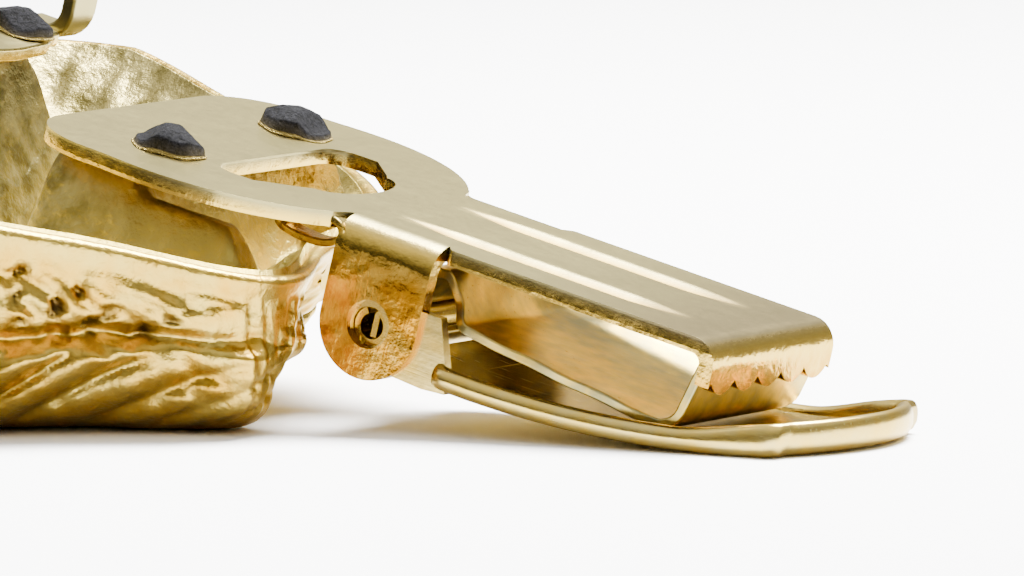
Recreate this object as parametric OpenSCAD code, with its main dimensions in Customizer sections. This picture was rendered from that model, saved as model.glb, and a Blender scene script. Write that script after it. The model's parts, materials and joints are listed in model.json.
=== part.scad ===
// Lever clip riveted to the hollow back of a cast ornament, lying face down.
// The clip is drawn about its hinge axis, then pitched and lifted so that the
// lever's low front and the casting's flat both touch the ground.

/* [Sheet metal] */
// Thickness of the clip plate
plate_t = 0.65; // [0.5:0.05:0.9]
// Thickness of the lever
lever_t = 0.5; // [0.4:0.05:0.65]
// Thickness of the spring leaf
leaf_t = 0.45; // [0.3:0.05:0.55]

/* [Clip plate] */
// Width of the tongue in front of the ears
tongue_w = 10; // [8:0.5:14]
// Distance from the hinge axis to the tongue's front face
tongue_l = 15.6; // [12:0.1:20]
// Width of the riveted rear part
rear_w = 18.6; // [15.5:0.1:24]
// Distance from the hinge axis back to the rear edge
rear_l = 16.2; // [14.2:0.1:20]
// Length of each ear along the plate
ear_l = 4.6; // [3.8:0.1:5.6]
// How far the ears stand out beyond the tongue on each side
ear_stand = 0.6; // [0.4:0.05:1]
// Depth of the hinge axis below the plate's top face
axis_drop = 4.1; // [3.6:0.05:5]
// Outside radius of the bend into an ear
ear_bend = 1.2; // [1:0.05:1.5]
// Depth of the toothed front lip below the top face
lip_drop = 2.2; // [1.8:0.05:2.5]
// Number of teeth on the lip
teeth = 5; // [3:1:8]
// Distance of the pressed grooves from the centre line
groove_y = 2.38; // [1.8:0.02:3]
// Length of the window's straight sides along the plate
window_l = 2.1; // [1.6:0.1:2.6]
// Width of the window
window_w = 10; // [8:0.1:11]

/* [Hinge] */
// Radius of the rolled hinge pin
pin_r = 0.8; // [0.6:0.05:0.95]
// Radial play between the pin and the holes in the ears
pin_play = 0.2; // [0.1:0.02:0.3]
// Running clearance between the pin and the pieces that turn on it
run_gap = 0.04; // [0.03:0.01:0.08]
// Side gap between neighbouring ears
side_gap = 0.12; // [0.08:0.02:0.2]

/* [Lever] */
// Distance from the hinge axis to the lever's front edge
lever_l = 21.5; // [19:0.1:26]
// How far the lever's rims stand out beyond the tongue on each side
rim_stand = 1.05; // [0.9:0.05:1.4]
// Height of the rolled rim
rim_h = 1; // [0.8:0.05:1.2]
// Radius of the lever's lengthwise curve
lever_curve_r = 52.4; // [48:0.2:64]
// Rise of the lever's floor where it leaves the hinge, in degrees
lever_slope = -1.6; // [-2.4:0.1:-0.8]

/* [Posts] */
// Distance from the hinge axis back to the posts
post_x = 11.1; // [9.5:0.1:12.5]
// Distance of each post from the centre line
post_y = 5.06; // [4:0.02:6]
// Radius of a post's shank
post_r = 1.05; // [0.8:0.05:1.2]
// Radius of a post's peened head
head_r = 1.55; // [1.4:0.05:1.8]
// Height of a post's peened head
head_h = 1; // [0.6:0.05:1.2]

/* [Casting] */
// Radius of the casting's outline between its points
cast_r = 17; // [15:0.1:21]
// How far the casting's front point stands out beyond that radius
cast_point = 4.2; // [2.5:0.1:5.5]
// How far the casting's side lobe stands out beyond that radius
cast_lobe = 5.2; // [3:0.1:6.5]
// Depth of the casting's rim below the clip plate's top face
rim_drop = 2.5; // [2.2:0.05:3]
// Depth of the hollow back below the rim
hollow = 6.5; // [5:0.1:7]
// Share of the casting's outline that is flat underneath
cast_flat = 0.5; // [0.4:0.02:0.6]
// Squareness of the casting's side: 1 is a plain bowl, less is more upright
cast_side = 0.4; // [0.35:0.05:1]
// Gap between the casting's point and the clip's ears
cast_gap = 1.1; // [0.8:0.05:2]

/* [Rear fitting] */
// Length of the rear fitting along the clip's direction
fit_l = 6; // [5:0.1:7.5]
// Width of the rear fitting
fit_w = 11; // [9.1:0.1:13.5]
// Gap between the clip plate's rear edge and the rear fitting
fit_gap = 7.6; // [7:0.1:9.2]

/* [Pose] */
// Pitch of the clip when it lies on the ground, in degrees
pitch = 14.6; // [12:0.1:17]

/* [Hidden] */
$fn = 64;
eps = 0.01;
steel = [0.85, 0.74, 0.5];

// Clip plate, across the clip
half_w = tongue_w / 2;
ear_out = half_w + ear_stand;
ear_in = ear_out - plate_t;
flat_y = ear_out - ear_bend;
ear_x0 = -ear_l / 2 + 0.1;
ear_x1 = ear_x0 + ear_l;
hole_r = pin_r + pin_play;
hole_lift = pin_play - run_gap;
rear_corner_r = 3.6;
neck_x = ear_x0 - 0.6;
neck_run = 6.6;
neck_rise = rear_w / 2 - ear_out;
neck_r = (neck_run * neck_run + neck_rise * neck_rise) / (2 * neck_rise);
neck_end = 90 - asin(neck_run / neck_r);
lip_r = plate_t + 0.45;
tooth_pitch = (tongue_w - 0.4) / teeth;
tooth_r = tooth_pitch * 0.4;
groove_x0 = -1.35;
groove_x1 = tongue_l - 2.9;
groove_cut_r = 0.75;
groove_depth = 0.3;
window_x = -post_x + post_r + 1;
window_neck = 3.1;
window_taper = 1.75;
window_lobe = 1.3;
window_corner = 1.1;
curl_r = 0.6;
post_deep = 3;

// Lever, across the clip
lever_ear_out = ear_in - side_gap;
lever_ear_in = lever_ear_out - lever_t;
rim_r = rim_h / 2;
trough_out = half_w + rim_stand;
trough_in = trough_out - rim_h;

// Lever, in side view: one long arc, given by its centre
lever_x0 = ear_x1 + 1.1;
lever_z0 = -axis_drop - 1.43;
arc_x = lever_x0 - lever_curve_r * sin(lever_slope);
arc_z = lever_z0 + lever_curve_r * cos(lever_slope);
function under_z(x) = arc_z - sqrt(pow(lever_curve_r, 2) - pow(x - arc_x, 2));
lever_ear_top = 1.35;
tip_round = 2.2;
tip_z = under_z(lever_l);

// Spring leaf: its front bend stands on the lever's floor behind the teeth
leaf_half = trough_in - 0.2;
leaf_bend_x = tongue_l - plate_t - 0.3;
leaf_low = under_z(leaf_bend_x) + lever_t + 0.12;
leaf_rear_x = ear_x1 + 1.3;
leaf_rear_z = -axis_drop + 0.86;
leaf_lip_top = -plate_t - 0.35;
leaf_neck_half = lever_ear_in - side_gap - 0.3;
eye_r = pin_r + run_gap;

// Ground: the lowest point of the lever's curve touches it
low_x = min(lever_l, arc_x + lever_curve_r * sin(pitch));
lift = low_x * sin(pitch) - under_z(low_x) * cos(pitch);

// Casting outline, as seen from above: a circle with a front point beside the
// near ear, a side lobe and two low swellings, each a bell at its own angle
point_at = -24;
point = [ear_x0 * cos(pitch) - cast_gap, -ear_out - 3.4];
bells = [[point_at, 15, cast_point], [112, 20, cast_lobe], [-62, 26, 2.6], [200, 40, 1.5]];
cast_sides = 72;
cast_rings = 8;
function apart(a, b) = let (d = abs(a - b) % 360) min(d, 360 - d);
function cast_reach(t, k = 0) =
    k == len(bells) ? cast_r
                    : bells[k][2] * exp(-pow(apart(t, bells[k][0]) / bells[k][1], 2)) + cast_reach(t, k + 1);
cast_c = point - cast_reach(point_at) * [cos(point_at), sin(point_at)];
function outline(t) = cast_c + cast_reach(t) * [cos(t), sin(t)];
edge_pts = [for (k = [0:cast_sides - 1]) outline(360 * k / cast_sides)];
rim_t = 0.9;
knee = 13;
// Height of the rim plane, parallel to the clip plate and easing off at the rear
function rim_z(x) =
    let (h = lift - rim_drop / cos(pitch) - x * tan(pitch)) h - 0.75 * max(0, h - knee);
function outer_pt(t, rise) =
    let (share = cast_flat + (1 - cast_flat) * pow(max(cos(rise), 0), cast_side), p = cast_c + share * (outline(t) - cast_c))
    [p.x, p.y, rim_z(outline(t).x) * (1 - sin(rise))];
function inner_pt(t, share) =
    let (edge = 1 - rim_t / cast_reach(t), p = cast_c + share * edge * (outline(t) - cast_c))
    [p.x, p.y, rim_z(p.x) - hollow * (1 - pow(share, 3))];
outer_rings = [for (i = [0:cast_rings]) each
    [for (k = [0:cast_sides - 1]) outer_pt(360 * k / cast_sides, 90 * i / cast_rings)]];
inner_rings = [for (i = [0:cast_rings]) each
    [for (k = [0:cast_sides - 1]) inner_pt(360 * k / cast_sides, cos(80 * i / cast_rings))]];

// Centre of the whole object's box, where the origin goes
front_x = lever_l * cos(pitch) + (tip_z + rim_h) * sin(pitch);
centre = [(min([for (p = edge_pts) p.x]) + front_x) / 2,
          (min([for (p = edge_pts) p.y]) + max([for (p = edge_pts) p.y])) / 2];

// Rear fitting, in the clip's own frame
fit_x1 = -rear_l - fit_gap;
fit_x0 = fit_x1 - fit_l;
fit_y1 = 10.5;
fit_y0 = fit_y1 - fit_w;
fit_tab_w = 3.2;
fit_tab_h = 1.9;
fit_post = [fit_x1 - 1.75, fit_y1 - fit_tab_w - head_r + 0.2];

// Places a piece that is drawn in the clip's frame
module in_clip() {
    translate([-centre.x, -centre.y, lift]) rotate([0, pitch, 0]) children();
}
module on_ground() { translate([-centre.x, -centre.y, 0]) children(); }
module on_axis() { translate([0, 0, -axis_drop]) rotate([90, 0, 0]) children(); }

// Extrudes a side view (x, z) across the clip, centred on the centre line
module across_clip(w) { rotate([90, 0, 0]) translate([0, 0, -w / 2]) linear_extrude(w) children(); }
// Extrudes a front view (y, z) from x0 to x1
module along_clip(x0, x1) {
    translate([x0, 0, 0]) rotate([90, 0, 90]) linear_extrude(x1 - x0) children();
}
function arc(c, r, a0, a1, n) =
    [for (i = [0:n]) let (a = a0 + (a1 - a0) * i / n) [c[0] + r * cos(a), c[1] + r * sin(a)]];

// One half of the plate's plan, from the rear centre forward
function plate_half() = concat(
    [[-rear_l, 0]],
    arc([-rear_l + rear_corner_r, rear_w / 2 - rear_corner_r], rear_corner_r, 180, 90, 8),
    arc([neck_x - neck_run, rear_w / 2 - neck_r], neck_r, 90, neck_end, 10),
    [[ear_x0, flat_y], [ear_x1, flat_y], [ear_x1, half_w - 0.25], [ear_x1 + 0.3, half_w],
     [tongue_l - lip_r, half_w], [tongue_l - lip_r, 0]]);

module plate_plan() {
    for (m = [0, 1]) mirror([0, m]) polygon(plate_half());
}
module window_plan() {
    translate([window_x, 0]) {
        intersection() {
            hull() for (m = [-1, 1])
                translate([window_corner, m * (window_w / 2 - window_corner)]) {
                    circle(window_corner);
                    translate([window_l, 0]) circle(window_corner);
                }
            translate([0, -window_w / 2]) square([window_l, window_w]);
        }
        polygon([[window_l - eps, window_w / 2], [window_l - eps, -window_w / 2],
                 [window_l + window_taper, -window_neck], [window_l + window_taper, window_neck]]);
        translate([window_l + window_taper, 0]) scale([window_lobe / window_neck, 1])
            circle(window_neck);
    }
}
module ear_side() {
    translate([(ear_x0 + ear_x1) / 2, -axis_drop + hole_lift]) circle(ear_l / 2);
    translate([ear_x0, -axis_drop + hole_lift]) square([ear_l, axis_drop - hole_lift]);
}
module ear_front() {
    translate([flat_y, -ear_bend]) intersection() {
        difference() { circle(ear_bend); circle(ear_bend - plate_t); }
        square(ear_bend);
    }
    translate([ear_in, -axis_drop - ear_l]) square([plate_t, axis_drop + ear_l - ear_bend]);
}
module ear() {
    intersection() {
        along_clip(ear_x0, ear_x1) ear_front();
        across_clip(4 * rear_w) ear_side();
    }
}
module lip_side() {
    translate([tongue_l - lip_r, -lip_r]) intersection() {
        difference() { circle(lip_r); circle(lip_r - plate_t); }
        square(lip_r);
    }
    translate([tongue_l - plate_t, -lip_drop]) square([plate_t, lip_drop - lip_r]);
}
module lip_front() {
    translate([-half_w, -lip_drop + tooth_r]) square([tongue_w, lip_drop]);
    for (k = [0:teeth - 1])
        translate([(k - (teeth - 1) / 2) * tooth_pitch, -lip_drop + tooth_r]) circle(tooth_r);
}
module groove() {
    translate([0, 0, groove_cut_r - groove_depth]) {
        translate([groove_x0 + 0.5, 0, 0]) rotate([0, 90, 0])
            cylinder(h = groove_x1 - groove_x0 - 1, r = groove_cut_r);
        for (x = [groove_x0 + 0.5, groove_x1 - 0.5]) translate([x, 0, 0]) sphere(groove_cut_r);
    }
}
// Strip of the plate's edge, rolled under behind an ear
module edge_curl() {
    translate([ear_x0 - curl_r - 0.25, -ear_out + 1, -plate_t - curl_r + 0.1])
        rotate([90, 0, 0]) cylinder(h = 1.6, r = curl_r);
}

module clip_plate() color(steel) in_clip() {
    difference() {
        union() {
            translate([0, 0, -plate_t]) linear_extrude(plate_t) plate_plan();
            for (m = [0, 1]) mirror([0, m, 0]) { ear(); edge_curl(); }
            intersection() {
                across_clip(tongue_w) lip_side();
                along_clip(0, tongue_l + 1) lip_front();
            }
        }
        translate([0, 0, -plate_t - eps]) linear_extrude(plate_t + 2 * eps) window_plan();
        translate([0, 0, hole_lift]) on_axis() cylinder(h = 2 * rear_w, r = hole_r, center = true);
        for (m = [-1, 1]) {
            translate([-post_x, m * post_y, -plate_t - eps])
                cylinder(h = plate_t + 2 * eps, r = post_r + 0.05);
            translate([0, m * groove_y, 0]) groove();
        }
    }
}

module post(m) {
    translate([-post_x, m * post_y, -post_deep]) cylinder(h = post_deep + eps, r = post_r);
    translate([-post_x, m * post_y, 0]) cylinder(h = head_h, r1 = head_r, r2 = head_r * 0.85);
}
module post_near() color("dimgray") in_clip() post(-1);
module post_far() color("dimgray") in_clip() post(1);

module hinge_pin() color("goldenrod") in_clip() on_axis() difference() {
    cylinder(h = 2 * ear_out - 0.2, r = pin_r, center = true);
    cylinder(h = 2 * ear_out, r = pin_r - 0.35, center = true);
    translate([0, -0.04, -ear_out]) cube([pin_r * 2, 0.08, 2 * ear_out]);
}

// The lever's side view: the floor's arc, thick enough for height h
module trough_side(h) intersection() {
    translate([arc_x, arc_z]) difference() {
        circle(lever_curve_r, $fn = 1440);
        circle(lever_curve_r - h, $fn = 1440);
    }
    translate([lever_x0, lever_z0 - 3]) square([lever_l, 12]);
}
module trough_plan() {
    nose_r = (pow(trough_out, 2) + pow(tip_round, 2)) / (2 * tip_round);
    intersection() {
        translate([lever_x0, -trough_out]) square([lever_l - lever_x0, 2 * trough_out]);
        translate([lever_l - nose_r, 0]) circle(nose_r, $fn = 180);
    }
}
module plan_up() { translate([0, 0, -20]) linear_extrude(40) children(); }
// Hanger in side view, from the trough's rear up round the pin
module lever_ear_side() {
    translate([0, -axis_drop]) circle(pin_r + 0.75);
    polygon([[-0.6, -axis_drop - pin_r - 0.55], [lever_x0 + 0.6, under_z(lever_x0)],
             [lever_x0 + 0.6, under_z(lever_x0) + lever_t], [lever_x0 - 0.3, -axis_drop + lever_ear_top],
             [lever_x0 - 0.9, -axis_drop + lever_ear_top], [0.2, -axis_drop + pin_r + 0.6]]);
}
module lever() color(steel) in_clip() difference() {
    union() {
        intersection() {
            across_clip(2 * trough_out) trough_side(lever_t);
            plan_up() trough_plan();
        }
        intersection() {
            across_clip(2 * trough_out) trough_side(rim_h);
            plan_up() difference() {
                trough_plan();
                translate([-rim_h, 0]) intersection() {
                    trough_plan();
                    translate([0, -trough_in]) square([2 * lever_l, 2 * trough_in]);
                }
                translate([lever_x0 - eps, -trough_in]) square([2 * rim_h, 2 * trough_in]);
            }
        }
        for (m = [0, 1]) mirror([0, m, 0]) translate([0, (lever_ear_in + lever_ear_out) / 2, 0])
            across_clip(lever_t) lever_ear_side();
    }
    on_axis() cylinder(h = 2 * rear_w, r = pin_r + run_gap, center = true);
}

// The leaf in side view, from the eye round the pin to the lip behind the teeth
module leaf_side() {
    t = leaf_t;
    polygon([[leaf_rear_x, leaf_rear_z], [leaf_bend_x - 0.7, leaf_low],
             [leaf_bend_x - 0.1, leaf_low + 0.15], [leaf_bend_x + 0.15, leaf_lip_top],
             [leaf_bend_x + 0.15 - t, leaf_lip_top], [leaf_bend_x - 0.15 - t, leaf_low + 0.4 + t / 2],
             [leaf_bend_x - 0.7 - t, leaf_low + t], [leaf_rear_x + 0.1, leaf_rear_z + t]]);
}
module leaf_neck_side() {
    up = eye_r + leaf_t;
    polygon([[0, -axis_drop + eye_r], [0, -axis_drop + up], [ear_x1 - 0.2, -axis_drop + up + 0.5],
             [leaf_rear_x + 0.1, leaf_rear_z + leaf_t], [leaf_rear_x + 0.1, leaf_rear_z],
             [leaf_rear_x - 0.2, leaf_rear_z], [ear_x1 - 0.2, -axis_drop + eye_r + 0.4]]);
    translate([0, -axis_drop]) circle(up);
}
module spring_leaf() color(steel) in_clip() difference() {
    union() {
        across_clip(2 * leaf_half) leaf_side();
        across_clip(2 * leaf_neck_half) leaf_neck_side();
    }
    on_axis() cylinder(h = 2 * rear_w, r = eye_r, center = true);
}

// Triangles between two rings of n points, the first at a and the second at b
function strip(a, b, n, turned) = [for (k = [0:n - 1]) let (j = (k + 1) % n)
    each turned ? [[a + k, a + j, b + j], [a + k, b + j, b + k]]
                : [[a + k, b + j, a + j], [a + k, b + k, b + j]]];
module casting_shell() {
    n = cast_sides;
    m = len(outer_rings);
    last = cast_rings * n;
    polyhedron(points = concat(outer_rings, inner_rings, [[cast_c.x, cast_c.y, 0], inner_pt(0, 0)]),
        faces = concat(
            [for (i = [0:cast_rings - 1]) each strip(i * n, (i + 1) * n, n, true)],
            [for (i = [0:cast_rings - 1]) each strip(m + i * n, m + (i + 1) * n, n, false)],
            strip(0, m, n, false),
            [for (k = [0:n - 1]) [last + k, last + (k + 1) % n, 2 * m]],
            [for (k = [0:n - 1]) [m + last + k, 2 * m + 1, m + last + (k + 1) % n]]), convexity = 6);
}
// A boss under a fitting: a slab at the sheet's underside, spread out into the casting's floor
module boss(x0, x1, y0, y1, foot) hull() {
    rotate([0, pitch, 0]) translate([x0, y0, -plate_t - 0.2]) cube([x1 - x0, y1 - y0, 0.2]);
    rotate([0, pitch, 0]) translate([x0 - foot, y0 - foot / 2, boss_z])
        cube([x1 - x0 + 1.5 * foot, y1 - y0 + foot, 0.1]);
}
boss_z = -rim_drop - hollow * 0.85;
boss_x0 = -post_x - head_r - 0.6;
boss_x1 = -post_x + head_r;
boss_y = post_y + head_r + 0.4;
boss_foot = 1.4;
fit_boss = head_r + 0.65;
fit_foot = 1.2;
// Cast knob under the front point, behind the near ear
knob_r = 0.95;
knob = [ear_x0 - 1.2, -ear_out + 0.2, -axis_drop - 0.65];
module post_bore(x, y) translate([x, y, -post_deep - 0.1]) cylinder(h = post_deep + 1, r = post_r + 0.02);
module casting() color("gold") {
    difference() {
        union() {
            on_ground() casting_shell();
            on_ground() translate([0, 0, lift]) {
                boss(boss_x0, boss_x1, -boss_y, boss_y, boss_foot);
                boss(fit_post.x - fit_boss, fit_post.x + head_r, fit_post.y - fit_boss,
                     fit_post.y + fit_boss, fit_foot);
            }
            in_clip() translate(knob) sphere(knob_r);
        }
        in_clip() {
            for (m = [-1, 1]) post_bore(-post_x, m * post_y);
            post_bore(fit_post.x, fit_post.y);
        }
    }
}

module rear_fitting() color(steel) in_clip() difference() {
    union() {
        translate([fit_x0, fit_y0, -plate_t]) cube([fit_l, fit_w, plate_t]);
        translate([fit_x1 - plate_t, fit_y0 + fit_w - 3.4, -plate_t])
            cube([plate_t, 3.4, plate_t + fit_tab_h]);
    }
    translate([fit_post.x, fit_post.y, -plate_t - eps]) cylinder(h = 2 * plate_t, r = post_r + 0.05);
}
module rear_post() color("dimgray") in_clip() translate([fit_post.x, fit_post.y, 0]) {
    translate([0, 0, -post_deep]) cylinder(h = post_deep + eps, r = post_r);
    cylinder(h = head_h, r1 = head_r, r2 = head_r * 0.85);
}

casting();
clip_plate();
post_near();
post_far();
hinge_pin();
lever();
spring_leaf();
rear_fitting();
rear_post();
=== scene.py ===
# %% [markdown]
# # A lever hair clip on the back of a cast ornament
# The object lies face down, so its hollow back and its riveted clip look up.
# The stamped clip pieces are thin sheet metal, and the ornament is one casting.
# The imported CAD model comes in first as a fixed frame. The pieces made here
# stand in the same places as its nodes and ride on the same bodies.

# %% Load the frame
import json
import math

import bmesh
import bpy
import numpy as np
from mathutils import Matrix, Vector


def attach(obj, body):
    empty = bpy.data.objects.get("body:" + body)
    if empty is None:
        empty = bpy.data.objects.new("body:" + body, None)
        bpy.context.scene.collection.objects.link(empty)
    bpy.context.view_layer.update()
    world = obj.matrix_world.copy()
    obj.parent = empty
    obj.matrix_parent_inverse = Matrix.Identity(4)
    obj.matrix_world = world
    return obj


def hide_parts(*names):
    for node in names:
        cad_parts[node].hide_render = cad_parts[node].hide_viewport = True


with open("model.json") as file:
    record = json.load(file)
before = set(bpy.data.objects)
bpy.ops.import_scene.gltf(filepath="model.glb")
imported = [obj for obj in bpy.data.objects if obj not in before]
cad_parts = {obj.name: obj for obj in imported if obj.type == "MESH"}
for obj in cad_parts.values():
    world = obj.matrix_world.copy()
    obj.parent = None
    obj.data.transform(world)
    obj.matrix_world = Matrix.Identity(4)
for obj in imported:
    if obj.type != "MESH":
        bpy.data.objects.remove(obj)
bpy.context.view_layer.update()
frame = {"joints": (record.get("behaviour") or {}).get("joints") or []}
pivot = np.array([j for j in frame["joints"] if j["name"] == "lever_hinge"][0]["pos_m"]) * 1000
print("hinge axis stands at", pivot.round(3), "mm")

# %% [markdown]
# ## Two ways to give a place
# The clip lies pitched nose down, so its pieces are easiest to describe in its
# own frame: x runs to the jaw, z = 0 is the plate's top face and the hinge axis
# is 4.1 mm below it. One function turns those places into the model's frame.

# %% The clip's own frame
PITCH = math.radians(14.6)
AXIS_DROP = 4.1


def in_clip(p):
    """A place in the clip's frame, in mm: pitched about the hinge axis, then moved to the hinge."""
    x, y, z = p[..., 0], p[..., 1], p[..., 2] + AXIS_DROP
    c, s = math.cos(PITCH), math.sin(PITCH)
    return np.stack([x * c + z * s, y, z * c - x * s], -1) + pivot


def out_of_clip(p):
    """The reverse: a place in the model's frame, in mm, as the clip's frame has it."""
    q = p - pivot
    c, s = math.cos(PITCH), math.sin(PITCH)
    return np.stack([q[..., 0] * c - q[..., 2] * s, q[..., 1], q[..., 0] * s + q[..., 2] * c - AXIS_DROP], -1)


ORIGIN = in_clip(np.array([0.0, 0, 0]))
print("plate's top above the hinge is at", ORIGIN.round(3))

# %% [markdown]
# ## From grids of points to a piece
# Every surface is a grid of points, worked out as one array. Neighbouring grids
# share their edge points, so welding equal points joins them. A Solidify
# modifier then gives sheet metal its thickness, and a Bevel rounds its edges,
# which is what makes metal edges catch the light.


# %% Grids, smooth steps and ripples
def quads(rows, cols, round_rows=False, round_cols=False):
    """The four corners of every cell of a grid, closing round where asked."""
    a = np.arange(rows if round_rows else rows - 1)[:, None]
    b = np.arange(cols if round_cols else cols - 1)[None, :]
    a2, b2 = (a + 1) % rows, (b + 1) % cols
    cells = np.broadcast_arrays(a * cols + b, a2 * cols + b, a2 * cols + b2, a * cols + b2)
    return np.stack(cells, -1).reshape(-1, 4)


def step(x, low, high):
    """0 below low, 1 above high, and 3t^2 - 2t^3 between them."""
    t = np.clip((x - low) / (high - low), 0, 1)
    return t * t * (3 - 2 * t)


def ripples(u, v, size, seed, waves=9):
    """A random smooth height near -1 to 1: the mean of sine waves of about one length, each its own way."""
    rng = np.random.default_rng(seed)
    way, length = rng.uniform(0, 2 * np.pi, waves), size * rng.uniform(0.6, 1.7, waves)
    start = rng.uniform(0, 2 * np.pi, waves)
    wave = np.sin((u[..., None] * np.cos(way) + v[..., None] * np.sin(way)) * 2 * np.pi / length + start)
    return wave.sum(-1) / math.sqrt(waves)


def stations(*runs):
    """Places along a line: each run is (from, to, how many steps), and the next run starts where it ends."""
    parts = [np.linspace(a, b, n, endpoint=False) for a, b, n in runs]
    return np.concatenate(parts + [[runs[-1][1]]])


def build(name, grids, finish, body, node, wall=0.0, edge=0.0, place=in_clip, values=None):
    """Welds grids into one piece. A grid is (points, turned, round rows, round columns)."""
    points, cells, start = [], [], 0
    for grid in grids:
        p, turned, *closed = grid
        q = quads(*p.shape[:2], *closed) + start
        points.append(p.reshape(-1, 3))
        cells.append(q[:, ::-1] if turned else q)
        start += p.shape[0] * p.shape[1]
    mesh = bpy.data.meshes.new(name)
    mesh.from_pydata((place(np.concatenate(points)) / 1000).tolist(), [], np.concatenate(cells).tolist())
    for key, array in (values or {}).items():
        layer = mesh.attributes.new(key, "FLOAT", "POINT")
        layer.data.foreach_set("value", np.asarray(array, dtype=np.float32).ravel())
    bm = bmesh.new()
    bm.from_mesh(mesh)
    bmesh.ops.remove_doubles(bm, verts=bm.verts, dist=2e-6)
    bm.to_mesh(mesh)
    bm.free()
    mesh.shade_smooth()
    piece = bpy.data.objects.new(name, mesh)
    bpy.context.collection.objects.link(piece)
    mesh.materials.append(finish)
    if wall:
        m = piece.modifiers.new("wall", "SOLIDIFY")
        m.thickness, m.offset, m.use_quality_normals = wall / 1000, -1, True
    if edge:
        m = piece.modifiers.new("edge", "BEVEL")
        m.width, m.segments, m.limit_method, m.angle_limit = edge / 1000, 3, "ANGLE", math.radians(50)
        m.harden_normals = True
    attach(piece, body)
    if node:
        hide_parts(node)
    print(name, len(mesh.vertices), "points", len(mesh.polygons), "faces")


# %% [markdown]
# ## Finishes as expressions
# Shader maths reads best as plain formulas. A small class wraps a socket, so
# that a sum or a product adds its Math node. One method adds any other node.


# %% Shader tools
class Wire:
    """A shader value: arithmetic on it adds Math nodes."""

    def __init__(self, paint, socket):
        self.paint, self.socket = paint, socket

    def _math(self, operation, a, b=None):
        values = {0: a} if b is None else {0: a, 1: b}
        return self.paint.node("ShaderNodeMath", {"operation": operation}, values)

    def __add__(self, other):
        return self._math("ADD", self, other)

    def __sub__(self, other):
        return self._math("SUBTRACT", self, other)

    def __rsub__(self, other):
        return self._math("SUBTRACT", other, self)

    def __mul__(self, other):
        return self._math("MULTIPLY", self, other)

    __radd__, __rmul__ = __add__, __mul__

    def absolute(self):
        return self._math("ABSOLUTE", self)


class Nodes:
    """A node tree whose nodes are added one call at a time."""

    def __init__(self, tree):
        self.tree = tree

    def node(self, kind, settings=None, inputs=None, out=0):
        """Any node: its settings first, then its sockets' values or links."""
        n = self.tree.nodes.new(kind)
        for key, value in (settings or {}).items():
            setattr(n, key, value)
        for key, value in (inputs or {}).items():
            if isinstance(value, Wire):
                self.tree.links.new(value.socket, n.inputs[key])
            else:
                n.inputs[key].default_value = value
        return Wire(self, n.outputs[out])

    def clip_place(self, stretch=(1, 1, 1)):
        """Object coordinates turned into the clip's frame, in mm, and divided by stretch."""
        at = self.node("ShaderNodeTexCoord", out=3)
        size = [0.001 * s for s in stretch]
        return self.node("ShaderNodeMapping", {"vector_type": "TEXTURE"},
                         {0: at, 1: tuple(pivot / 1000), 2: (0, PITCH, 0), 3: tuple(size)})

    def noise(self, at, scale=1.0, detail=3.0, rough=0.5):
        return self.node("ShaderNodeTexNoise", None,
                         {"Vector": at, "Scale": scale, "Detail": detail, "Roughness": rough})

    def part(self, value, low, high):
        """0 to 1 as the value runs from low to high, held at both ends."""
        return self.node("ShaderNodeMapRange", None, {0: value, 1: low, 2: high, 3: 0.0, 4: 1.0})

    def mix(self, share, a, b):
        return self.node("ShaderNodeMix", {"data_type": "RGBA"}, {0: share, 6: a, 7: b}, out=2)

    def split(self, vector, axis):
        return self.node("ShaderNodeSeparateXYZ", None, {0: vector}, out=axis)

    def value(self, name):
        return self.node("ShaderNodeAttribute", {"attribute_name": name}, out=2)

    def bump(self, height, depth_mm, strength=1.0):
        return self.node("ShaderNodeBump", None,
                         {"Height": height, "Distance": depth_mm / 1000, "Strength": strength})


class Paint(Nodes):
    """A material's nodes, which end in one Principled shader."""

    def __init__(self, name, metal=1.0, rough=0.3, edge=(1.0, 0.93, 0.72, 1)):
        self.material = bpy.data.materials.new(name)
        self.material.use_nodes = True
        super().__init__(self.material.node_tree)
        self.shader = self.tree.nodes["Principled BSDF"]
        self.shader.inputs["Metallic"].default_value = metal
        self.shader.inputs["Roughness"].default_value = rough
        self.shader.inputs["Specular Tint"].default_value = edge

    def put(self, **sockets):
        for key, wire in sockets.items():
            self.tree.links.new(wire.socket, self.shader.inputs[key.replace("_", " ")])
        return self.material


# %% [markdown]
# ## Gold plating
# All pieces carry the same thin gold plating, but each shows what was done to
# the metal under it. Flat sheet is smooth with slight waves, so it mirrors its
# surroundings softly. The ears are hammered by the bending tool, and painted
# shade makes them and the lip deeper gold. The grooves are painted darker as
# shade, and the tongue's top goes darker towards the lip.
# The lever and leaf are brushed along their length.

# %% Finishes
PALE = (0.22, 0.188, 0.078, 1)
DARKER_TOWARD_LIP = (0.12, 0.095, 0.045, 1)
WARM = (0.42, 0.32, 0.10, 1)
GROOVE_SHADE = (0.17, 0.11, 0.03, 1)
GROOVE_Y = 2.38
GOLD = (0.46, 0.31, 0.05, 1)
GOLD_IN_SHADE = (0.36, 0.165, 0.004, 1)


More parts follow.
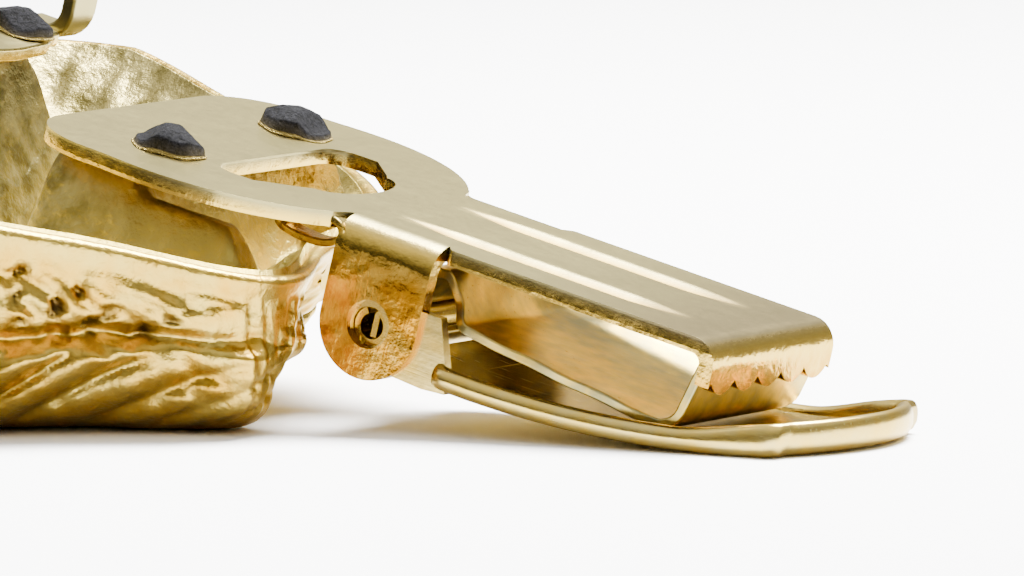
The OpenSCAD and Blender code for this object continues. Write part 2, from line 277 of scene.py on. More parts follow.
def sheet_finish():
    """Pale champagne plating on top; the ears and the lip are painted deeper gold as shade, darkest low down.
    """
    p = Paint("plating_sheet", rough=0.3)
    at = p.clip_place()
    height = p.split(at, 2) - AXIS_DROP
    # painted shade: side marks the ears and the lip, low their lowest parts, and these are painted deeper
    # gold
    side = p.part(height, -0.1, -0.5)
    low = p.part(height, -0.9, -2.0)
    spots = p.noise(at, 1.0, 5, 0.6)
    across = p.split(at, 1).absolute() - GROOVE_Y
    along = p.split(at, 0)
    # painted shade: the pressed grooves are painted darker
    furrow = (1 - p.part(across.absolute(), 0.1, 0.6)) * p.part(along, -1.4, 0.5)
    furrow = furrow * (1 - p.part(along, 10.5, 12.9))
    # the top goes darker from 5 mm to 14 mm along, towards the lip
    top = p.mix(furrow, p.mix(p.part(along, 5, 14), PALE, DARKER_TOWARD_LIP), GROOVE_SHADE)
    tone = p.mix(side, top, p.mix(low * p.part(spots, 0.25, 0.6), GOLD, GOLD_IN_SHADE))
    scores = p.noise(p.clip_place((0.12, 0.5, 1.6)), 1.0, 2)
    hammered = (p.noise(at, 1.3, 4, 0.5) * 0.9 + scores * 0.14) * side
    dents = hammered + p.noise(at, 0.35, 2) + p.noise(at, 9, 2) * 0.06
    rough = 0.27 + furrow * 0.25 - side * 0.1 + p.noise(at, 4.0, 3) * 0.06
    return p.put(Base_Color=tone, Roughness=rough, Normal=p.bump(dents, 0.1, 0.7))


def brushed_finish(name, tone, rough, depth):
    """Plating over fine lines that run along the clip."""
    p = Paint(name, rough=rough)
    lines = p.noise(p.clip_place((6.0, 0.09, 0.09)), 1.0, 3)
    at = p.clip_place()
    waves = p.noise(at, 0.5, 2)
    colour = p.mix(p.part(p.noise(at, 1.1, 3), 0.35, 0.75), tone, GOLD)
    return p.put(Base_Color=colour, Roughness=lines * 0.12 + (rough - 0.06),
                 Normal=p.bump(lines * 0.12 + waves * 0.7 + p.noise(at, 1.4, 3) * 0.5, depth, 0.7))


def cast_finish():
    """Gold outside with its pits painted dark as shade, and inside painted shade and light, mottled olive in
    the hollow and lit gold on the boss, by the piece's 'inside' and 'pit' values.
    """
    p = Paint("plating_cast", rough=0.3)
    at = p.clip_place()
    inside = p.value("inside")
    mottle = p.noise(at, 0.8, 5, 0.6)
    # painted shade: the hollow is painted olive, and painted light turns it gold towards the boss
    olive = p.mix(p.part(mottle, 0.38, 0.62), (0.13, 0.105, 0.03, 1), (0.34, 0.28, 0.10, 1))
    hollow = p.mix(p.part(p.split(at, 0), -15, -9.5), olive, (0.36, 0.27, 0.055, 1))
    outer = p.mix(p.part(p.noise(at, 0.6, 4), 0.35, 0.7), (0.38, 0.27, 0.05, 1), (0.38, 0.21, 0.014, 1))
    # painted shade: the pits are painted nearly black
    tone = p.mix(p.value("pit"), p.mix(inside, outer, hollow), (0.06, 0.035, 0.01, 1))
    lumps = p.noise(at, 1.1, 5, 0.6) * (inside * 0.7 + 0.5) + p.noise(at, 5, 3) * 0.15
    return p.put(Base_Color=tone, Roughness=inside * 0.12 + 0.26 + p.noise(at, 3, 3) * 0.08,
                 Normal=p.bump(lumps, 0.22, 0.8))


def post_finish():
    """Dark torn metal where the post was cut, pale gold round its skirt."""
    p = Paint("cut_post", rough=0.5)
    p.shader.inputs["Specular IOR Level"].default_value = 0.05
    at = p.clip_place()
    grain = p.noise(at, 5, 5, 0.7)
    cut = p.value("cut")
    tone = p.mix(cut, (0.34, 0.25, 0.07, 1),
                 p.mix(p.part(grain, 0.4, 0.75), (0.003, 0.0032, 0.004, 1), (0.016, 0.016, 0.02, 1)))
    return p.put(Base_Color=tone, Metallic=1 - cut, Roughness=cut * 0.45 + 0.3,
                 Normal=p.bump(grain, 0.25, 0.9))


plated_sheet = sheet_finish()
plated_lever = brushed_finish("plating_lever", WARM, 0.25, 0.04)
plated_leaf = brushed_finish("plating_leaf", PALE, 0.3, 0.05)
plated_pin = brushed_finish("plating_pin", GOLD, 0.25, 0.05)
cast_gold = cast_finish()
cut_post = post_finish()
print("finishes:", ", ".join(m.name for m in bpy.data.materials))

# %% [markdown]
# ## Clip plate
# On the real clip this is one stamping: a broad riveted rear with a window, two
# ears bent down for the hinge pin, a tongue with two pressed grooves, and a
# toothed lip. It could be modelled by cutting a slab, but a sheet is easier to
# bend as a surface. Half of it is drawn as grids between an inner and an outer
# edge, the other half is its mirror image, and Solidify gives the wall.

# %% Clip plate outline
WALL = 0.65
HALF = 5.0
EAR_OUT, EAR_FLAT, EAR_BEND = 5.6, 4.4, 1.2
EAR_BACK, EAR_FRONT = -2.2, 2.4
REAR, REAR_HALF, CORNER = -16.2, 9.3, 3.6
NECK_X, NECK_R, NECK_END = -9.4, 7.74, -2.8
WINDOW_X, WINDOW_HALF, LOBE_X, LOBE_R, LOBE_END = -9.05, 5.0, -5.2, 2.9, -3.9
LIP_X, LIP_R, LIP_DROP, TEETH = 14.5, 1.1, 2.2, 5
WINDOW_CORNER, WINDOW_BEND, LOBE_HALF = 1.1, -6.95, 3.0
SPLIT = WINDOW_HALF - WINDOW_CORNER


def outer_edge(x):
    """Half width of the plate: a rounded corner, a straight side, an arc, the ear's bend line, the tongue."""
    side = REAR_HALF - 0.25 * step(x, -9.6, -12.4)
    corner = side - CORNER + np.sqrt(np.maximum(CORNER**2 - np.minimum(x - REAR - CORNER, 0) ** 2, 0))
    neck = REAR_HALF - NECK_R + np.sqrt(np.maximum(NECK_R**2 - np.maximum(x - NECK_X, 0) ** 2, 0))
    y = np.where(x < NECK_X, corner, neck)
    y = np.where(x > NECK_END, EAR_OUT - (EAR_OUT - EAR_FLAT) * step(x, NECK_END, EAR_BACK), y)
    tongue = EAR_FLAT + (HALF - EAR_FLAT) * step(x, EAR_FRONT - 0.15, EAR_FRONT + 0.45)
    return np.where(x > EAR_FRONT, tongue, y)


def window_edge(x):
    """Half width of the window: rounded rear corners, straight sides, a sloping neck, then a round lobe."""
    turned = np.minimum(x - WINDOW_X - WINDOW_CORNER, 0)
    box = SPLIT + np.sqrt(np.maximum(WINDOW_CORNER**2 - turned**2, 0))
    neck = WINDOW_HALF - (x - WINDOW_BEND) * (WINDOW_HALF - LOBE_HALF) / (LOBE_X - WINDOW_BEND)
    lobe = LOBE_R * np.sqrt(np.maximum(1 - ((x - LOBE_X) / (LOBE_END - LOBE_X)) ** 2, 0))
    y = np.where(x < WINDOW_BEND, box, np.where(x < LOBE_X, neck, lobe))
    return np.where(x < WINDOW_X, SPLIT, np.where(x > LOBE_END - 1e-6, 0, y))


def groove(x, y):
    """Depth of a pressed groove: a rounded furrow that narrows to a point at both ends."""
    fade = np.minimum(step(x, -1.6, 2.2), 1 - step(x, 9.8, 12.9))
    half = 0.15 + 0.62 * fade
    d = np.clip(np.abs(np.abs(y) - GROOVE_Y) / half, 0, 1)
    return -0.22 * fade * np.cos(d * np.pi / 2) ** 2


def across(inner, outer, n):
    """Shares from the inner to the outer edge, even but for the last steps, which leave room for a bevel."""
    share = np.concatenate([np.linspace(0, 0.955, n), [0.98, 1.0]])
    return inner[:, None] + (outer - inner)[:, None] * share


# %% Clip plate
corner_turn = np.radians(np.linspace(0, 90, 12, endpoint=False))
x_corner = REAR + CORNER - CORNER * np.cos(corner_turn)
x_rear = np.concatenate([x_corner, stations((REAR + CORNER, WINDOW_X, 14))])
x_window = stations((WINDOW_X, WINDOW_X + 0.3, 6), (WINDOW_X + 0.3, WINDOW_X + WINDOW_CORNER, 6),
                    (WINDOW_X + WINDOW_CORNER, WINDOW_BEND, 5), (WINDOW_BEND, LOBE_X, 8))[:-1]
x_lobe = LOBE_X + (LOBE_END - LOBE_X) * np.sin(np.linspace(0, np.pi / 2, 24))
x_ear = stations((EAR_BACK, EAR_FRONT, 24))
x_front = stations((LOBE_END, NECK_END, 5), (NECK_END, EAR_BACK, 8), (EAR_BACK, EAR_FRONT, 24),
                   (EAR_FRONT, EAR_FRONT + 0.45, 6), (EAR_FRONT + 0.45, LIP_X, 100))


def plate_sheet(x, y):
    """The flat sheet with its grooves; its height is measured down from the top face."""
    x = np.broadcast_to(x[:, None], y.shape)
    return np.stack([x, y, groove(x, y)], -1)


rear_split = np.full(x_rear.shape, SPLIT)
middle = np.concatenate([x_window, x_lobe])
half_plate = [
    (plate_sheet(x_rear, np.linspace(0 * rear_split, rear_split, 14, axis=1)), False),
    (plate_sheet(x_rear, across(rear_split, outer_edge(x_rear), 46)), False),
    (plate_sheet(middle, across(window_edge(middle), outer_edge(middle), 46)), False),
    (plate_sheet(x_front, across(0 * x_front, outer_edge(x_front), 46)), False),
]
# the lip: round the front bend, then down to the scalloped edge of the teeth
lip_y = half_plate[-1][0][-1, :, 1]
tooth = (2 * HALF - 0.4) / TEETH
lobe_d = np.abs((lip_y / tooth + 0.5) % 1 - 0.5) * 2
lip_edge = -LIP_DROP + 0.55 * np.clip(lobe_d, 0, 1) ** 2.2
turn = np.radians(np.linspace(0, 90, 10))
bend_x, bend_z = LIP_X + LIP_R * np.sin(turn), LIP_R * np.cos(turn) - LIP_R
bend = np.stack(np.broadcast_arrays(bend_x[:, None], lip_y[None], bend_z[:, None]), -1)
down = np.array([0, 0.25, 0.5, 0.7, 0.85, 1.0])[:, None]
drop = -LIP_R + down * (lip_edge + LIP_R)[None]
lip = np.stack(np.broadcast_arrays(LIP_X + LIP_R + 0 * drop, lip_y[None], drop), -1)
half_plate += [(bend, False), (lip, False)]
# the ear: a bend out and down, then a face with rings round the pin's hole
HOLE_R, HOLE_Z, HOLE_X, EAR_R = 1.0, -3.94, 0.1, 2.3
turn = np.radians(np.linspace(0, 90, 10))
bend_y, bend_z = EAR_FLAT + EAR_BEND * np.sin(turn), EAR_BEND * np.cos(turn) - EAR_BEND
half_plate.append((np.stack(np.broadcast_arrays(x_ear[:, None], bend_y[None], bend_z[None]), -1), False))
low = np.radians(np.linspace(0, -180, 41))
rise = np.linspace(HOLE_Z, -EAR_BEND, 13)
rim_xz = np.concatenate([
    np.stack([HOLE_X + EAR_R * np.cos(low), HOLE_Z + EAR_R * np.sin(low)], -1),
    np.stack([np.full(12, EAR_BACK), rise[1:]], -1),
    np.stack([x_ear, np.full(25, -EAR_BEND)], -1)[1:],
    np.stack([np.full(12, EAR_FRONT), rise[::-1][1:]], -1)])
hole = np.array([HOLE_X, HOLE_Z])
ray = rim_xz - hole
ray /= np.linalg.norm(ray, axis=1)[:, None]
share = np.array([0, 0.12, 0.3, 0.5, 0.7, 0.88, 1.0])[:, None, None]
face = (hole + HOLE_R * ray)[None] * (1 - share) + rim_xz[None] * share
face = np.stack([face[..., 0], np.full(face.shape[:2], EAR_OUT), face[..., 1]], -1)
half_plate.append((face, False))

FLIP = np.array([1, -1, 1])
build("stamped_plate", half_plate + [(g[0] * FLIP, not g[1]) for g in half_plate],
              plated_sheet, "ornament", "clip_plate", WALL, 0.14)

# %% [markdown]
# ## Curl behind each ear
# The stamping's edge is folded under just behind each ear. Seen from the side
# it is a flattened loop with a dark slit. An oval carried a short way across
# the clip, with a wall, gives it.

# %% Edge curls
turn = np.linspace(0, 2 * np.pi, 36, endpoint=False)
loop_x = -3.62 + 1.38 * np.cos(turn)
loop_z = -0.9 + 0.5 * np.sin(turn) * (0.8 + 0.2 * np.cos(turn)) + 0.1 * np.cos(turn)
for side, name in ((-1, "curl_near"), (1, "curl_far")):
    deep = np.linspace(4.35, 5.5, 5) * side
    tube = np.stack(np.broadcast_arrays(loop_x[None], deep[:, None], loop_z[None]), -1)
    build(name, [(tube, side > 0, False, True)], plated_sheet, "ornament", None, 0.32, 0.08)

# %% [markdown]
# ## Hinge pin
# The pin is a rolled strip, so its end shows the strip's turned-in edge. A
# nearly closed ring, whose end turns down through its middle, is carried along
# the axis and given a wall, so it is a real tube.

# %% Hinge pin
turn = np.radians(np.linspace(120, 420, 44))
fold = np.radians(np.linspace(60, 180, 8))
PIN_R = 0.8
ring_x = np.concatenate([PIN_R * np.cos(turn), 0.28 + 0.25 * np.cos(fold[1:]), np.full(6, 0.03)])
ring_z = np.concatenate([PIN_R * np.sin(turn), 0.48 + 0.24 * np.sin(fold[1:]), np.linspace(0.35, -0.42, 6)])
ring_z = ring_z - AXIS_DROP
along = np.linspace(-5.05, 5.05, 6)
build("rolled_pin", [(np.stack(np.broadcast_arrays(ring_x[None], along[:, None], ring_z[None]), -1), False)],
            plated_pin, "ornament", "hinge_pin", 0.26, 0.05)

# %% [markdown]
# ## Posts
# Each post is part of the casting, pushed through a hole in the plate, cut off
# and peened over. Its head is an uneven lump with a few flat facets and a dark
# torn top. The top is the lowest of several tilted planes.


# %% Posts
HEAD, POST_SIDES = 1.0, 60


def post(name, x, y, seed, node):
    """Rings from the plate up a skirt and over a faceted top; the outline is a circle pushed in and out."""
    rng = np.random.default_rng(seed)
    a = np.linspace(0, 2 * np.pi, POST_SIDES, endpoint=False)
    r = 1.4 * (1 + 0.08 * np.cos(2 * a + rng.uniform(0, 6)) + 0.05 * np.cos(5 * a + rng.uniform(0, 6)))
    share = np.array([1.0, 1.05, 1.03, 0.99, 0.94, 0.86, 0.72, 0.55, 0.35, 0.15, 0])[:, None]
    px, py = share * r * np.cos(a), share * r * np.sin(a)
    ways = np.arange(5) * 2 * np.pi / 5 + rng.uniform(-0.4, 0.4, 5)
    slopes, reach = rng.uniform(0.35, 0.9, 5), rng.uniform(0.1, 0.7, 5)
    facets = [HEAD - s * np.maximum(px * np.cos(w) + py * np.sin(w) - d, 0)
              for w, s, d in zip(ways, slopes, reach)]
    top = np.maximum(np.min(facets, axis=0), 0.3)
    skirt = np.array([-0.05, 0.1, 0.22, 0.32] + [1] * 7)[:, None] * np.minimum(top, 1)
    z = np.where(share > 0.95, skirt, top)
    cut = np.broadcast_to(step(np.arange(11.0), 2, 3.2)[:, None], px.shape)
    lump = np.stack([px + x, py + y, z], -1)
    base = np.stack([lump[0], np.broadcast_to([x, y, -0.05], lump[0].shape)])
    build(name, [(lump, True, False, True), (base, False, False, True)], cut_post, "ornament", node,
                 values={"cut": np.concatenate([cut, np.zeros((2, POST_SIDES))])})


post("post_head_near", -11.1, -5.06, 4, "post_near")
post("post_head_far", -11.1, 5.06, 9, "post_far")
post("post_head_rear", -25.55, 5.95, 12, "rear_post")

# %% [markdown]
# ## Lever
# The lever is a shallow trough with a rolled rim that runs round its nose. Its
# section is carried round the outline: rings at set distances from the edge,
# joined to a line down the middle. The floor follows one long arc. Behind the
# trough two ears hold it on the pin, and a short floor runs on between them.

# %% Lever
LEVER_X, LEVER_L, LEVER_HALF, LEVER_T = 3.5, 21.3, 6.05, 0.5
ARC_R, FLOOR_SLOPE = 52.4, math.radians(-1.6)
ARC_X, ARC_Z = LEVER_X - ARC_R * math.sin(FLOOR_SLOPE), -5.53 + ARC_R * math.cos(FLOOR_SLOPE)
NOSE_R = (LEVER_HALF**2 + 2.2**2) / (2 * 2.2)


def under(x):
    """Height of the lever's underside: the low side of one long arc."""
    return ARC_Z - np.sqrt(ARC_R**2 - (x - ARC_X) ** 2)


nose_half = math.asin((LEVER_HALF - 0.9) / NOSE_R)
quarter = np.radians(np.linspace(0, 90, 7))
side_x = np.concatenate([LEVER_X + 0.9 * (1 - np.cos(quarter)), np.linspace(LEVER_X + 1.1, 18.4, 60)])
side_y = np.concatenate([LEVER_HALF - 0.5 * (1 - np.sin(quarter)), np.full(60, LEVER_HALF)])
nose = np.linspace(nose_half, -nose_half, 61)
nose_x, nose_y = LEVER_L - NOSE_R + NOSE_R * np.cos(nose), NOSE_R * np.sin(nose)
round_a = np.radians(np.linspace(90, math.degrees(nose_half), 9))[1:-1]
knee_x = nose_x[0] - 0.9 * math.cos(nose_half) + 0.9 * np.cos(round_a)
knee_y = LEVER_HALF - 0.9 + 0.9 * np.sin(round_a)
rim_x = np.concatenate([side_x, knee_x, nose_x, knee_x[::-1], side_x[::-1]])
rim_y = np.concatenate([side_y, knee_y, nose_y, -knee_y[::-1], -side_y[::-1]])
spine_x = np.minimum(rim_x, 15.0)
reach = np.hypot(rim_x - spine_x, rim_y)
far = step(rim_y, -1, 3)
roll = np.radians(np.linspace(0, 180, 13))
rim_in = 0.5 + 0.5 * np.cos(roll)
rim_up = 0.5 + 0.5 * np.sin(roll)
inward = np.concatenate([[1e3, 4.5, 3, 2, 1.5, 1.22, 1.1], rim_in, [0.1, 0.4, 1.0, 2, 4.5, 1e3]])
height = np.concatenate([[0.5, 0.5, 0.5, 0.5, 0.5, 0.5, 0.52], rim_up, [0.2, 0.02, 0, 0, 0, 0]])
k = 1 - np.minimum(inward[None] / reach[:, None], 1)
lx = spine_x[:, None] + k * (rim_x - spine_x)[:, None]
ly = k * rim_y[:, None]
lift_by = 1 - 0.35 * far[:, None] * (1 - step(lx, 15, 18)) + 0.9 * step(lx, 14.5, 19.5)
lz = under(lx) + 0.5 * np.minimum(height / 0.5, 1) + (np.maximum(height, 0.5) - 0.5) * lift_by
section = np.stack([lx, ly, lz], -1)
# the open rear end is closed between the top and the underside of the first and last sections
ends = [np.stack([section[i, :13], section[i, ::-1][:13]], 1) for i in (0, -1)]
build("lever_trough", [(section, False), (ends[0], False), (ends[1], True)],
              plated_lever, "lever", "lever")

# %% Lever ears
EYE = np.array([0.0, -AXIS_DROP])
left = np.radians(np.linspace(105, 246, 24))
corners = np.array([[-0.6, -5.4], [1.2, -5.72], [3.0, -5.82], [4.1, -5.72],
                    [4.1, -5.25], [3.2, -2.75], [2.6, -2.75], [0.2, -2.65]])
round_end = np.stack([EYE[0] + 1.55 * np.cos(left), EYE[1] + 1.55 * np.sin(left)], -1)
sides = [np.linspace(corners[i], corners[i + 1], 6, endpoint=False) for i in range(len(corners) - 1)]
outline = np.concatenate([round_end] + sides + [corners[-1:]])
ray = outline - EYE
ray /= np.linalg.norm(ray, axis=1)[:, None]
share = np.array([0, 0.3, 0.7, 1.0])[:, None, None]
flat = (EYE + 0.84 * ray)[None] * (1 - share) + outline[None] * share
for side, name in ((-1, "lever_ear_near"), (1, "lever_ear_far")):
    wallface = np.stack([flat[..., 0], np.full(flat.shape[:2], 4.83 * side), flat[..., 1]], -1)
    build(name, [(wallface, side < 0, False, True)], plated_lever, "lever", None,
          LEVER_T, 0.08)

# %% Lever floor between its ears
fx = stations((1.1, 1.9, 4), (1.9, 3.4, 6), (3.4, 3.9, 2))
half_floor = 4.7 + 0.6 * step(fx, 1.8, 2.1) * (1 - step(fx, 3.3, 3.5))
fy = half_floor[:, None] * np.linspace(-1, 1, 15)
floor_z = under(fx)[:, None] + LEVER_T + 0.02 - 0.25 * step(np.abs(fy), 4.5, 5.3)
build("lever_floor", [(np.stack([np.broadcast_to(fx[:, None], fy.shape), fy, floor_z], -1), False)],
      plated_lever, "lever", None, LEVER_T, 0.08)

# %% [markdown]
# ## Spring leaf
# Inside the clip a bent leaf presses hair against the teeth. It wraps the pin,
# widens, runs down to the lever's floor and turns up into a lip. It is a path
# seen from the side, carried across the clip, with a wall.


# %% Spring leaf
def rounded(corners, radius, n=8):
    """A path through corners, each corner but the ends cut by a quadratic curve."""
    c = np.array(corners, dtype=float)
    out = [c[:1]]
    t = np.linspace(0, 1, n)[:, None]
    for a, b, d, r in zip(c[:-2], c[1:-1], c[2:], radius):
        p = b + (a - b) / np.linalg.norm(a - b) * r
        q = b + (d - b) / np.linalg.norm(d - b) * r
        out.append((1 - t) ** 2 * p + 2 * t * (1 - t) * b + t**2 * q)
    return np.concatenate(out + [c[-1:]])


eye = np.radians(np.linspace(352, 75, 30))
wrap = np.stack([1.29 * np.cos(eye), -AXIS_DROP + 1.29 * np.sin(eye)], -1)
path = rounded([(0.4, -2.82), (1.4, -1.1), (2.6, -1.0), (3.95, -2.8),
                (8.0, -3.25), (13.7, -3.8), (14.25, -3.45), (14.85, -0.95)],
               [0.5, 0.35, 0.35, 1.0, 0.25, 0.3])
path = np.concatenate([wrap, path])
gap = np.linalg.norm(np.diff(path, axis=0), axis=1)
steps = np.concatenate([[0], np.cumsum(gap)])
even = np.linspace(0, steps[-1], 150)
path = np.stack([np.interp(even, steps, path[:, 0]), np.interp(even, steps, path[:, 1])], -1)
half = 4.15 + 0.7 * step(path[:, 0], 3.3, 4.1) * (even > 2)
v = np.concatenate([[-1, -0.97], np.linspace(-0.92, 0.92, 16), [0.97, 1]])
ly = half[:, None] * v
lx = np.broadcast_to(path[:, :1], ly.shape)
turned_up = 0.6 * step(v, 0.55, 1.0) * step(lx, 4.5, 6.5) * (1 - step(lx, 12.6, 13.4))
lz = path[:, 1:] + 0.03 * np.sin(lx * 1.9) * np.abs(v) ** 6 + turned_up
build("leaf_strip", [(np.stack([lx, ly, lz], -1), False)],
      plated_leaf, "leaf", "spring_leaf", 0.42, 0.09)

# %% [markdown]
# ## Cast ornament
# The ornament is a heavy hollow casting. Its outside is fluted like rope low
# down, pitted higher up and streaked towards its front point. All that relief
# is real shape here, because it shows in the outline. The outside and inside
# are polar grids about the casting's middle, joined over a rounded rim.

# %% Cast outline
CAST = ORIGIN[:2] + np.array([-22.8767, -0.252269])
CAST_R, RIM_T, HOLLOW = 17.0, 0.9, 6.5
BELLS = ((-24, 15, 4.2), (112, 20, 5.2), (-62, 26, 2.6), (200, 40, 1.5))


def cast_reach(t):
    """Distance of the rim from the middle: a circle with a bell-shaped swelling at each named angle."""
    r = np.full_like(t, CAST_R)
    for angle, width, rise in BELLS:
        apart = np.abs((t - angle + 180) % 360 - 180)
        r = r + rise * np.exp(-((apart / width) ** 2))
    return r


def rim_height(x):
    """Height of the rim: a plane parallel to the clip plate that eases off past 13 mm."""
    h = ORIGIN[2] - 2.5 / math.cos(PITCH) - (x - ORIGIN[0]) * math.tan(PITCH)
    return h - 0.75 * np.maximum(0, h - 13)


def ring(r, z):
    """Points at distance r from the casting's middle, one for each angle, at height z."""
    return np.stack([CAST[0] + r * way[:, 0], CAST[1] + r * way[:, 1], z + 0 * r], -1)


# %% Cast ornament
N, SIDE = 600, 0.4
t = np.linspace(-180, 180, N, endpoint=False)
reach = cast_reach(t) - 0.09
way = np.stack([np.cos(np.radians(t)), np.sin(np.radians(t))], -1)
rim_z = rim_height(CAST[0] + reach * way[:, 0])
drop = np.concatenate([np.linspace(0, 0.965, 66), 1 - 0.035 * np.linspace(1, 0, 14)[1:] ** 3])
fall = np.arcsin(drop)[:, None]
u, w = np.broadcast_arrays(np.radians(t)[None] * 19.5, np.sin(fall) * 9.0)
front = np.exp(-(((t[None] + 20) / 14) ** 2))
# rope flutes run up and round, below a groove; pits and dents above it
slant = (u * 0.62 + w * 0.9) / 1.7 + 0.2 * ripples(u, w, 9, 3)
flutes = np.abs(np.sin(np.pi * slant)) ** 0.8 - 0.55
low = step(w, 4.3, 5.6) * (1 - 0.75 * front) * (1 - step(w, 8.0, 8.9))
fur = 0.8 * low * flutes
line = 4.3 + 0.7 * np.sin(u * 0.24 + 0.8)
furrow, ridge = 0.8 * np.exp(-(((w - line) / 0.45) ** 2)), 0.28 * np.exp(-(((w - line - 1.0) / 0.6) ** 2))
fur = fur + (ridge - furrow) * (1 - front)
pits = step(ripples(u, w, 1.3, 11) + 0.5 * ripples(u, w, 0.6, 12), 0.7, 1.3)
pits = pits * step(w, 0.8, 1.6) * (1 - step(w, 3.6, 4.4))
pits = pits * (1 - front * 0.7) * step(ripples(u, w, 7, 5), -0.5, 0.4)
streak = 0.14 * np.sin(2 * np.pi * (u / 0.55 + 0.6 * ripples(u, w * 0.2, 2.5, 21)))
uneven = 0.16 * ripples(u, w, 3.2, 7) + 0.1 * ripples(u, w, 1.2, 8)
uneven = uneven * step(w, 0.4, 2.0) * (1 - 0.7 * np.maximum(low, front))
fur = fur - 0.42 * pits + streak * front * step(w, 0.5, 1.2) + uneven
lump = 0.75 * np.exp(-(((t[None] + 27) / 3.0) ** 2)) * step(w, 3.2, 4.6) * (1 - step(w, 7.6, 8.6))
knob = 1.9 * np.exp(-(((t[None] + 13.5) / 3.2) ** 2) - ((w - 4.2) / 1.5) ** 2)
hollowed = -1.3 * np.exp(-(((t[None] + 17.5) / 3.5) ** 2)) * step(w, 3.8, 6.2)
fur = fur + lump + knob * 0.8 + hollowed - 0.25
recede = step(t, -20, -8) * (1 - step(t, 75, 115))
upright = np.maximum(np.cos(fall), 0) ** (SIDE - 0.2 * front)
share = 0.5 + 0.5 * (upright + ((1 - drop[:, None]) ** 0.6 - upright) * recede)
out = share * reach + fur * np.cos(fall * 0.6) * step(w, 0.0, 1.2)
outside = ring(out, (rim_z - 0.32) * (1 - np.sin(fall)))
floor_ring = ring(np.linspace(0.5, 0, 5)[1:, None] * reach, 0 * rim_z)
# the rim's rounded top
bend = np.radians(np.linspace(180, 0, 7))[:, None]
rim_top = ring(reach - RIM_T / 2 - RIM_T / 2 * np.cos(bend), rim_z + 0.32 * np.sin(bend) - 0.32)
share = np.cos(np.radians(np.linspace(0, 80, 52)))[:, None]
deep = ring(share * (reach - RIM_T), rim_z)
dz = rim_height(deep[..., 0]) - HOLLOW * (1 - share**3) - 0.32 * (share > 0.999)


def hill(x, y, x0, x1, y0, y1, top, slope):
    """A flat-topped mound in the clip's frame whose sides fall off ever more steeply with distance."""
    d = np.hypot(np.maximum(np.maximum(x0 - x, x - x1), 0), np.maximum(np.maximum(y0 - y, y - y1), 0))
    return top - slope * d**1.15


q = out_of_clip(np.stack([deep[..., 0], deep[..., 1], dz], -1))
mound = np.maximum(hill(q[..., 0], q[..., 1], -13.1, -9.7, -7.2, 7.2, -0.75, 2.3),
                   hill(q[..., 0], q[..., 1], -10.0, -5.4, -7.4, -6.6, -1.5, 2.6))
mound = np.maximum(mound, hill(q[..., 0], q[..., 1], -27.6, -24.6, 4.0, 8.0, -0.75, 2.6))
up = np.maximum(mound - q[..., 2], 0)
away = np.minimum(1, (1 - share) * 14)
lumpy = 0.22 * ripples(q[..., 0], q[..., 1], 3.0, 31) + 0.1 * ripples(q[..., 0], q[..., 1], 1.1, 32)
deep[..., 2] = dz + (up + lumpy * (1 - step(up, 2.6, 3.4))) * away
inner_end = np.broadcast_to(deep[-1].mean(0), deep[-1:].shape)
cast_grids = [(outside, False, False, True),
              (np.concatenate([outside[-1:], floor_ring]), False, False, True),
              (rim_top, True, False, True),
              (np.concatenate([rim_top[-1:], deep, inner_end]), True, False, True)]
inside = [np.zeros(outside.shape[:2]), np.zeros((5, N)), np.full((7, N), 0.25), np.ones((54, N))]
# the pit value marks where the pits are painted dark as shade
pit = [np.clip(pits, 0, 1), np.zeros((5, N)), np.zeros((7, N)), np.zeros((54, N))]
build("cast_shell", cast_grids, cast_gold, "ornament", "casting", place=lambda p: p,
                values={"inside": np.concatenate(inside), "pit": np.concatenate(pit)})

# %% [markdown]
# ## Rear fitting
# Only a corner of a second riveted fitting shows: the front edge of a plate, and
# behind it a lug bent upright. Each is a sheet with a wall, like the clip.

# %% Rear fitting
FIT_BACK, FIT_FRONT, FIT_NEAR, FIT_FAR = -29.6, -24.1, -0.4, 8.2
gx, gy = stations((FIT_BACK, FIT_FRONT, 20)), stations((FIT_NEAR, FIT_FAR, 24))
sheet_x, sheet_y = np.broadcast_arrays(gx[:, None], gy[None])
sheet_x = sheet_x - 0.9 * step(sheet_y, 5.6, FIT_FAR) * step(sheet_x, -26, FIT_FRONT)
sag = 0.05 * np.sin(sheet_y * 1.3) - 0.1 * step(sheet_x, -25, FIT_FRONT)
build("rear_fitting_sheet", [(np.stack([sheet_x, sheet_y, sag], -1), False)],
      plated_sheet, "ornament", "rear_fitting", WALL, 0.15)
lug_turn = np.radians(np.linspace(0, 90, 7))
lug_x = np.concatenate([[-27.4, -26.4], -26.2 + 0.8 * np.sin(lug_turn), np.full(4, -25.4)])
lug_z = np.concatenate([[0, 0], 0.8 - 0.8 * np.cos(lug_turn), np.linspace(0.95, 1.6, 4)])
lug_y = stations((8.4, 10.3, 8))
lug = np.stack(np.broadcast_arrays(lug_x[:, None], lug_y[None], lug_z[:, None]), -1)
build("rear_fitting_lug", [(lug, False)], plated_sheet, "ornament", None, WALL, 0.15)

# %% [markdown]
# ## Studio
# The object lies on white paper that runs far behind it. A big soft light
# stands overhead, with a long one behind for the pale reflection in the
# plate's top, and the near side is left darker so that upright faces go deep gold.
# A grey card lies on the paper just outside the picture, for the same faces to mirror.

# %% Floor
paper = Paint("paper", metal=0.0, rough=0.9)
paper.shader.inputs["Base Color"].default_value = (0.93, 0.93, 0.93, 1)
mesh = bpy.data.meshes.new("paper")
mesh.from_pydata([(-3, -3, 0), (3, -3, 0), (3, 3, 0), (-3, 3, 0)], [], [(0, 1, 2, 3)])
mesh.materials.append(paper.material)
floor = bpy.data.objects.new("paper", mesh)
bpy.context.collection.objects.link(floor)


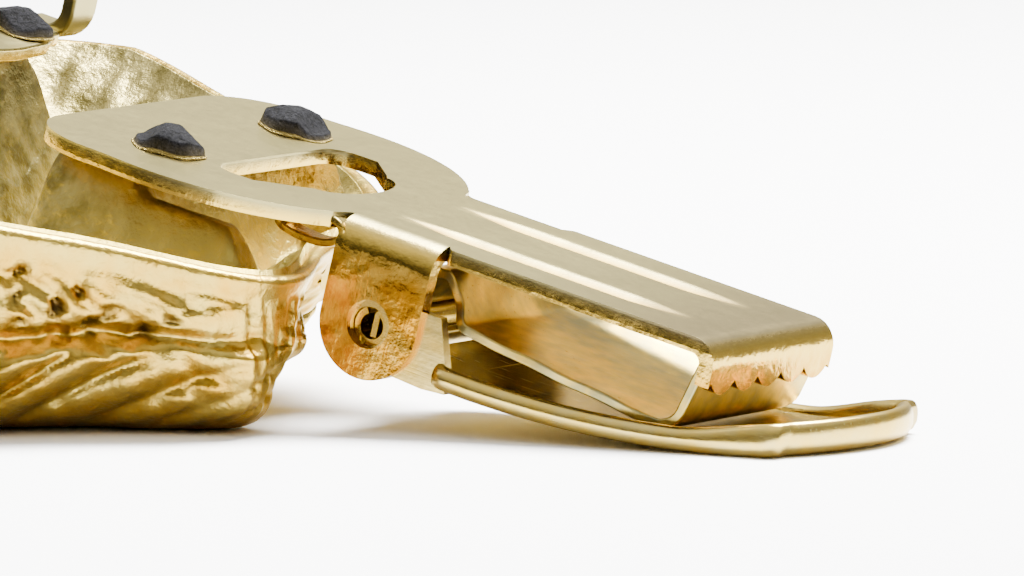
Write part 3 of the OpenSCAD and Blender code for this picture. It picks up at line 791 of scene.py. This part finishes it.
# %% Lights
def soft_light(name, place, aim, size, power, tone=(1, 1, 1), spread=180):
    """A rectangular lamp at a place, facing another."""
    data = bpy.data.lights.new(name, "AREA")
    data.shape, data.size, data.size_y, data.energy, data.color = "RECTANGLE", *size, power, tone
    data.spread = math.radians(spread)
    lamp = bpy.data.objects.new(name, data)
    lamp.location = place
    lamp.rotation_euler = (Vector(aim) - Vector(place)).to_track_quat("-Z", "Y").to_euler()
    bpy.context.collection.objects.link(lamp)


MIDDLE = (0.01, 0, 0.005)
soft_light("overhead", (0.03, 0.27, 0.57), (0.02, 0.04, 0), (0.35, 0.33), 9, spread=70)
soft_light("left", (-0.5, -0.2, 0.45), MIDDLE, (0.12, 0.4), 0.4)
soft_light("behind", (-0.2, 0.8, 0.5), MIDDLE, (0.6, 0.12), 0.15)

world = bpy.data.worlds.new("studio")
bpy.context.scene.world = world
world.use_nodes = True
sky = Nodes(world.node_tree)
direction = sky.node("ShaderNodeTexCoord", out=0)
height = sky.split(direction, 2)
nearness = sky.part(sky.split(direction, 1), 0.3, -0.3)
tone = sky.mix(sky.part(height, 0.1, 0.8), (0.95, 0.9, 0.8, 1), (1.0, 1.0, 1.0, 1))
power = 0.75 + sky.part(height, 0.45, 0.9) * 1.2 - nearness * (1 - sky.part(height, 0.1, 0.5)) * 0.8
background = world.node_tree.nodes["Background"]
world.node_tree.links.new(tone.socket, background.inputs[0])
world.node_tree.links.new(power.socket, background.inputs[1])

# %% Grey card
card = Paint("card", metal=0.0, rough=0.9)
card.shader.inputs["Base Color"].default_value = (0.10, 0.085, 0.065, 1)
mesh = bpy.data.meshes.new("card")
card_at = [(-0.3, -0.022), (-0.001, -0.022), (0.034, -0.082), (0.05, -0.3), (-0.3, -0.3)]
mesh.from_pydata([(x, y, 0.0002) for x, y in card_at], [], [(4, 3, 2, 1, 0)])
mesh.materials.append(card.material)
grey_card = bpy.data.objects.new("card", mesh)
bpy.context.collection.objects.link(grey_card)

# %% Camera
camera = bpy.data.objects.new("camera", bpy.data.cameras.new("camera"))
bpy.context.collection.objects.link(camera)
toward = Vector((0.5012, -0.8602, 0.0943)).normalized()
aim = Vector(pivot / 1000) + Vector((0.00312, 0.00092, 0.00122))
camera.location = aim + toward * 0.56025
camera.rotation_euler = toward.to_track_quat("Z", "Y").to_euler()
camera.data.lens, camera.data.sensor_width = 481.6, 36
camera.data.clip_start, camera.data.clip_end = 0.01, 20
bpy.context.scene.camera = camera
